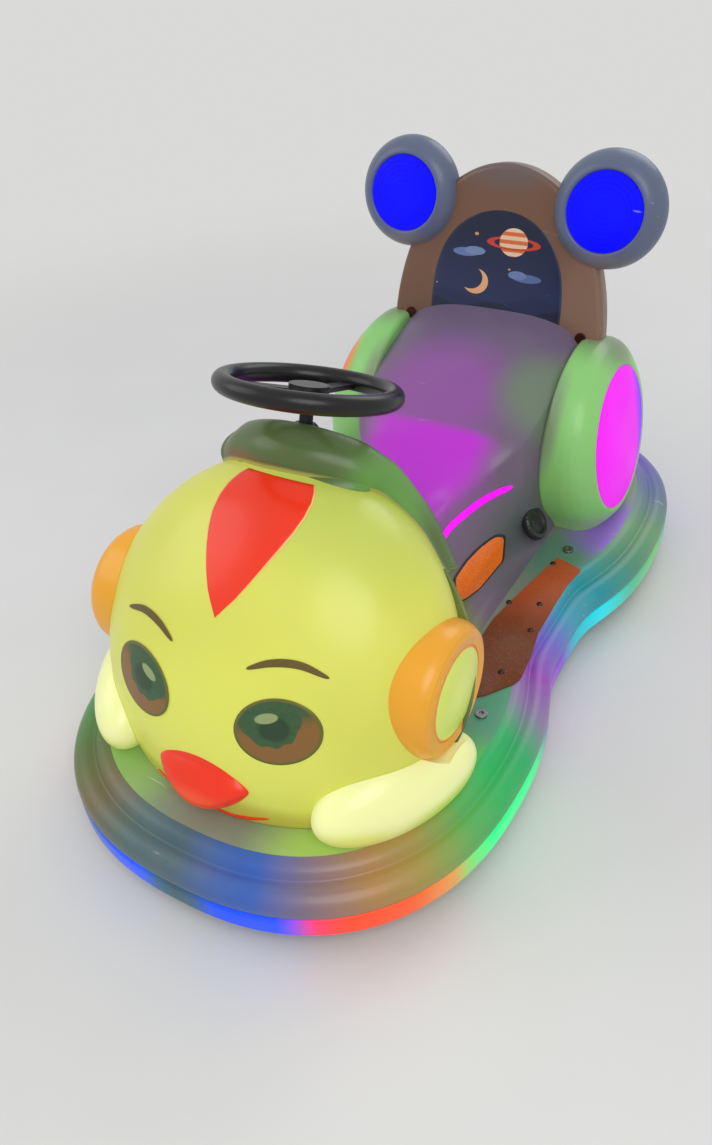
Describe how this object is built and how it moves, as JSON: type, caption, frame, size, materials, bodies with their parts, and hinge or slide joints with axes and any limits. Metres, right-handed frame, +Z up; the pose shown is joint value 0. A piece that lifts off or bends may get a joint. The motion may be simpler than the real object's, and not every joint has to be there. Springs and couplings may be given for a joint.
{
  "type": "children's battery bumper car",
  "caption": "Battery bumper car for children: chick-faced head, raked steering wheel, saddle seat, backrest with round ears, lit bumper ring and driven front wheel.",
  "frame": {"origin": "on the ground under the middle of the bumper's length and width", "axes": "+Z up, the car faces -Y, +X to the rider's left"},
  "size_m": [0.8302, 1.6, 0.8879],
  "materials": {
    "shell": "milky rotomoulded plastic, lit from inside",
    "light_band": "lit translucent strip in running colours",
    "fastener": "dull zinc",
    "mat": "worn ribbed mat",
    "head_shell": "milky plastic glowing yellow-green",
    "red_film": "printed film",
    "eye_film": "printed film",
    "brow_film": "printed film",
    "beak": "gloss",
    "cheek_lamp": "brightly lit diffuser",
    "muff_ring": "orange lit plastic",
    "muff_disc": "lit diffuser",
    "cowl": "milky plastic, green glow",
    "black_plastic": "moulded",
    "seat_shell": "milky plastic, mauve glow",
    "light_streak": "lit strip",
    "reflector": "orange reflex lens",
    "fender": "milky plastic, green glow",
    "fender_lens": "lit lens",
    "backrest": "milky plastic",
    "print_panel": "printed panel",
    "ear_shell": "milky plastic",
    "ear_lens": "lit lens",
    "frame_steel": "black paint",
    "axle_steel": "bare steel",
    "battery": "battery case",
    "grip": "glossy black grip",
    "spoke": "black",
    "shaft_steel": "dark steel",
    "tyre": "solid rubber",
    "hub_alloy": "cast hub",
    "rear_hub": "nylon wheel centre"
  },
  "bodies": {
    "car": {"base_shell": "shell", "bumper_light_band": "light_band", "deck_bolts": "fastener", "floor_mats": "mat", "head_shell": "head_shell", "crest_film": "red_film", "eye_films": "eye_film", "brow_films": "brow_film", "beak": "beak", "cheek_lamp_left": "cheek_lamp", "cheek_lamp_right": "cheek_lamp", "muff_ring_left": "muff_ring", "muff_ring_right": "muff_ring", "muff_discs": "muff_disc", "dash_cowl": "cowl", "column_flange": "black_plastic", "seat_body": "seat_shell", "light_streaks": "light_streak", "side_reflectors": "reflector", "side_caps": "black_plastic", "fender_left": "fender", "fender_right": "fender", "fender_lens_left": "fender_lens", "fender_lens_right": "fender_lens", "backrest_shell": "backrest", "backrest_panel": "print_panel", "backrest_bolts": "fastener", "ear_left": "ear_shell", "ear_right": "ear_shell", "ear_lens_left": "ear_lens", "ear_lens_right": "ear_lens", "foot_pedal": "black_plastic", "chassis_frame": "frame_steel", "rear_axle": "axle_steel", "battery_pack": "battery"},
    "steering_wheel": {"steering_wheel_rim": "grip", "steering_wheel_spokes": "spoke", "steering_shaft": "shaft_steel"},
    "fork": {"front_fork": "axle_steel"},
    "front_wheel": {"front_tyre": "tyre", "front_hub_motor": "hub_alloy"},
    "rear_wheel_l": {"rear_tyre_left": "tyre", "rear_wheel_left": "rear_hub"},
    "rear_wheel_r": {"rear_tyre_right": "tyre", "rear_wheel_right": "rear_hub"}
  },
  "joints": [
    {"name": "steering_turn", "type": "hinge", "parent": "car", "child": "steering_wheel", "pos_m": [0, -0.278, 0.71], "axis": [0, 0.3453, 0.9385], "range_deg": [-60, 60]},
    {"name": "fork_turn", "type": "hinge", "parent": "car", "child": "fork", "pos_m": [0, -0.44, 0.22], "axis": [0, 0, 1], "range_deg": [-60, 60]},
    {"name": "front_wheel_spin", "type": "hinge", "parent": "fork", "child": "front_wheel", "pos_m": [0, -0.44, 0.09], "axis": [1, 0, 0], "continuous": true},
    {"name": "rear_wheel_l_spin", "type": "hinge", "parent": "car", "child": "rear_wheel_l", "pos_m": [0.28, 0.38, 0.065], "axis": [1, 0, 0], "continuous": true},
    {"name": "rear_wheel_r_spin", "type": "hinge", "parent": "car", "child": "rear_wheel_r", "pos_m": [-0.28, 0.38, 0.065], "axis": [1, 0, 0], "continuous": true}
  ],
  "couplings": [
    {"joint": "fork_turn", "follows": "steering_turn", "ratio": 1}
  ]
}
